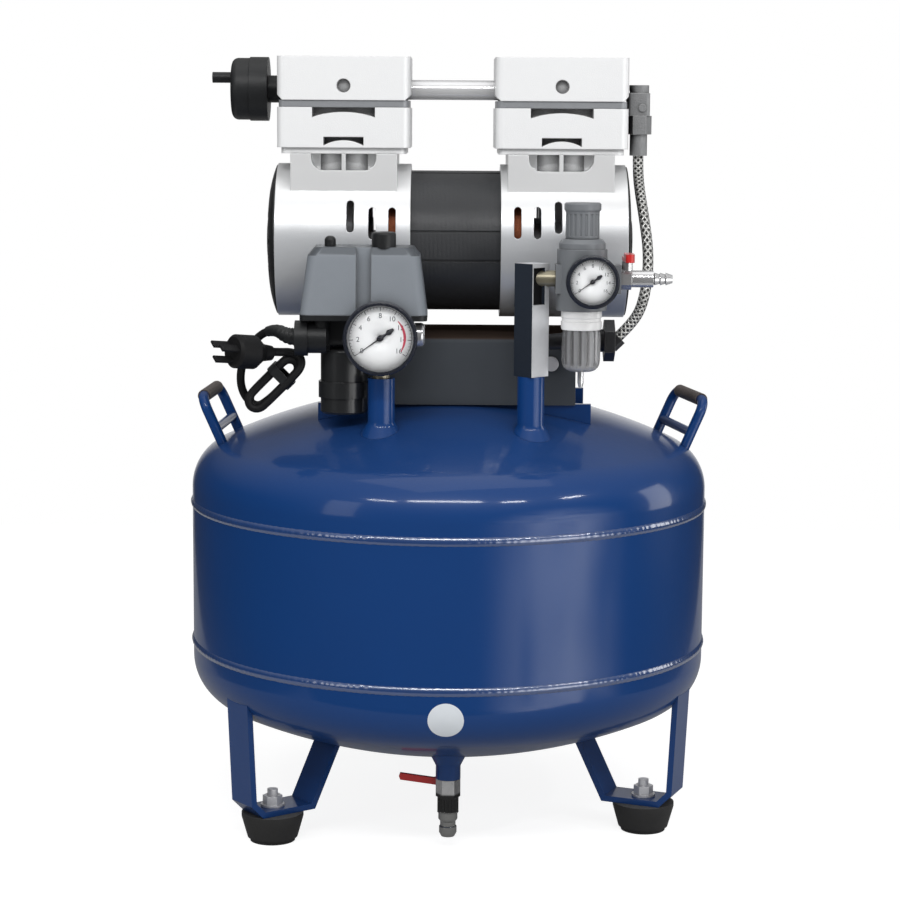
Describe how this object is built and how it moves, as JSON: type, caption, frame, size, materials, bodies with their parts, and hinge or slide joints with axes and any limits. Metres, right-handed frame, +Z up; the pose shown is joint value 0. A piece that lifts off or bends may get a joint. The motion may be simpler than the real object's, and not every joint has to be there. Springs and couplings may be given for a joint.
{
  "type": "oil-free air compressor",
  "caption": "Twin-head oil-free air compressor on an upright tank with strap legs, gauges, filter regulator, pressure switch and ball valves.",
  "frame": {"origin": "on the floor, under the tank's axis", "axes": "+Z up along the tank's axis, -Y towards the front with the gauges, +X towards the outlet valve"},
  "size_m": [0.4039, 0.4032, 0.5888],
  "materials": {
    "tank_paint": "glossy dark blue enamel",
    "black_rubber": "matte moulded rubber",
    "zinc_steel": "zinc plated",
    "grip_sleeve": "worn grey-brown sleeve",
    "nickel": "bright nickel plating",
    "red_lever": "red vinyl dip",
    "bridge_paint": "dark grey gloss paint",
    "stator_black": "black paint over laminations",
    "copper_winding": "varnished copper wire",
    "bright_steel": "ground steel",
    "black_plastic": "moulded black plastic",
    "bell_silver": "silver coat over cast aluminium",
    "cast_silver": "bright cast aluminium",
    "bright_tube": "drawn tube",
    "grey_casting": "dark grey casting",
    "braided_steel": "stainless braid",
    "black_fitting": "black oxide",
    "riser_metal": "milled bar",
    "brass": "turned brass",
    "switch_grey": "fine textured grey plastic",
    "gauge_black": "black case with white dial",
    "clear_lens": "clear lens",
    "needle_black": "black pointer",
    "regulator_grey": "grey body",
    "bowl_clear": "clear bowl",
    "capacitor_black": "black can",
    "cord_black": "black cord jacket"
  },
  "bodies": {
    "compressor": {"tank_shell": "tank_paint", "tank_top_head": "tank_paint", "tank_bottom_head": "tank_paint", "seam_welds": "tank_paint", "tank_legs": "tank_paint", "rubber_feet": "black_rubber", "steel_fasteners": "zinc_steel", "carry_handles": "tank_paint", "handle_grips": "grip_sleeve", "tank_fittings": "tank_paint", "drain_valve_body": "nickel", "motor_bridge": "bridge_paint", "rubber_mounts": "black_rubber", "stator_core": "stator_black", "stator_windings": "copper_winding", "shaft_bearings": "bright_steel", "crank_eccentrics": "bright_steel", "connecting_rods": "bell_silver", "cylinder_sleeves": "cast_silver", "endbell_left": "bell_silver", "endbell_right": "bell_silver", "end_guards": "black_plastic", "cylinder_blocks": "cast_silver", "valve_plates": "cast_silver", "head_cover_left": "cast_silver", "head_cover_right": "cast_silver", "head_screws": "zinc_steel", "transfer_tube": "bright_tube", "intake_filter_body": "black_plastic", "intake_filter_lid": "black_plastic", "outlet_elbow": "grey_casting", "delivery_hose": "braided_steel", "check_valve": "black_fitting", "riser_block": "riser_metal", "brass_fittings": "brass", "switch_manifold": "brass", "safety_valve": "nickel", "switch_base": "black_plastic", "switch_cover": "switch_grey", "gauge_cases": "gauge_black", "gauge_lenses": "clear_lens", "regulator_body": "regulator_grey", "regulator_bowl": "bowl_clear", "outlet_valve_body": "nickel", "capacitor": "capacitor_black", "power_cord": "cord_black", "cord_hank": "cord_black", "plug": "cord_black"},
    "rotor": {"rotor_core": "bright_steel", "motor_shaft": "bright_steel", "cooling_fans": "black_plastic"},
    "drain_lever": {"drain_valve_lever": "red_lever"},
    "outlet_lever": {"outlet_valve_lever": "red_lever"},
    "switch_button": {"switch_knob": "black_plastic"},
    "safety_cap": {"safety_valve_cap": "nickel"},
    "tank_needle": {"tank_gauge_needle": "needle_black"},
    "regulator_needle": {"regulator_gauge_needle": "needle_black"},
    "regulator_screw": {"regulator_spindle": "bright_steel"},
    "regulator_cap": {"regulator_knob": "regulator_grey"},
    "bowl_drain": {"regulator_drain": "nickel"}
  },
  "joints": [
    {"name": "rotor_spin", "type": "hinge", "parent": "compressor", "child": "rotor", "pos_m": [0, -0.008, 0.45], "axis": [1, 0, 0], "continuous": true},
    {"name": "drain_lever_turn", "type": "hinge", "parent": "compressor", "child": "drain_lever", "pos_m": [0.001, -0.12, 0.0475], "axis": [0, 1, 0], "range_deg": [-90, 0]},
    {"name": "outlet_lever_turn", "type": "hinge", "parent": "compressor", "child": "outlet_lever", "pos_m": [0.1295, -0.11, 0.428], "axis": [0, 0, 1], "range_deg": [0, 90]},
    {"name": "switch_knob_pull", "type": "slide", "parent": "compressor", "child": "switch_button", "axis": [0, 0, 1], "range_m": [0, 0.005]},
    {"name": "safety_cap_pull", "type": "slide", "parent": "compressor", "child": "safety_cap", "axis": [1, 0, 0], "range_m": [0, 0.002], "stiffness_N_per_m": 1000, "springref_m": -0.001},
    {"name": "tank_needle_sweep", "type": "hinge", "parent": "compressor", "child": "tank_needle", "pos_m": [-0.05, -0.14, 0.386], "axis": [0, 1, 0], "range_deg": [0, 250], "stiffness_Nm_per_rad": 0.001},
    {"name": "regulator_needle_sweep", "type": "hinge", "parent": "compressor", "child": "regulator_needle", "pos_m": [0.1024, -0.14, 0.428], "axis": [0, 1, 0], "range_deg": [0, 250], "stiffness_Nm_per_rad": 0.001},
    {"name": "regulator_adjust", "type": "hinge", "parent": "compressor", "child": "regulator_screw", "pos_m": [0.0965, -0.11, 0.45], "axis": [0, 0, 1], "range_deg": [0, 330]},
    {"name": "regulator_unlock", "type": "slide", "parent": "regulator_screw", "child": "regulator_cap", "axis": [0, 0, 1], "range_m": [0, 0.003]},
    {"name": "regulator_drain_press", "type": "slide", "parent": "compressor", "child": "bowl_drain", "axis": [0, 0, 1], "range_m": [0, 0.002], "stiffness_N_per_m": 400, "springref_m": -0.001}
  ]
}
